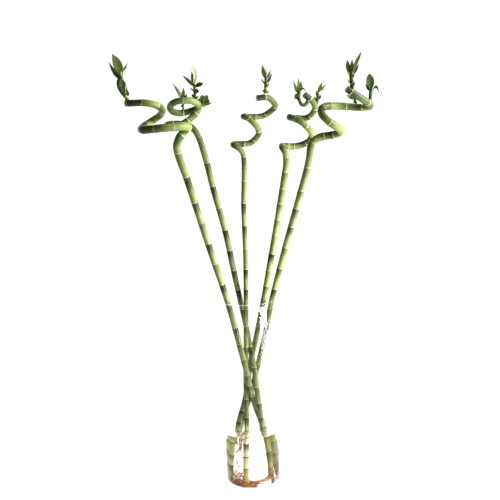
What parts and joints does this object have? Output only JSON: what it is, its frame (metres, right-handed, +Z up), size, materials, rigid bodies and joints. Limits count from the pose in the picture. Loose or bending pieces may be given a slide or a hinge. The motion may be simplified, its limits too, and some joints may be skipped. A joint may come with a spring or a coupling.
{
  "type": "potted lucky bamboo",
  "caption": "Lucky bamboo canes with spiral tops and leafy shoots, rooted in water in a tall clear glass cylinder vase, as a table or floor decoration.",
  "frame": {"origin": "centre of the underside of the vase's foot", "axes": "+Z up along the vase's axis, -Y towards the arrangement's front, +X to its right seen from the front"},
  "size_m": [0.5027, 0.2811, 0.8972],
  "materials": {
    "glass": "gloss",
    "water": "gloss",
    "cane": "satin",
    "shoot": "satin",
    "roots": "matte"
  },
  "bodies": {
    "root": {"vase": "glass", "water": "water", "root_mat": "roots", "cane_front_left": "cane", "cane_back_left": "cane", "cane_back_centre": "cane", "cane_back_right": "cane", "cane_front_right": "cane", "shoot_front_left": "shoot", "shoot_back_left_low": "shoot", "shoot_back_left_tall": "shoot", "shoot_back_left_bud": "shoot", "shoot_back_centre": "shoot", "shoot_back_right_curved": "shoot", "shoot_back_right_upright": "shoot", "shoot_front_right_tall": "shoot", "shoot_front_right_oval": "shoot", "shoot_front_right_small": "shoot"}
  },
  "joints": []
}
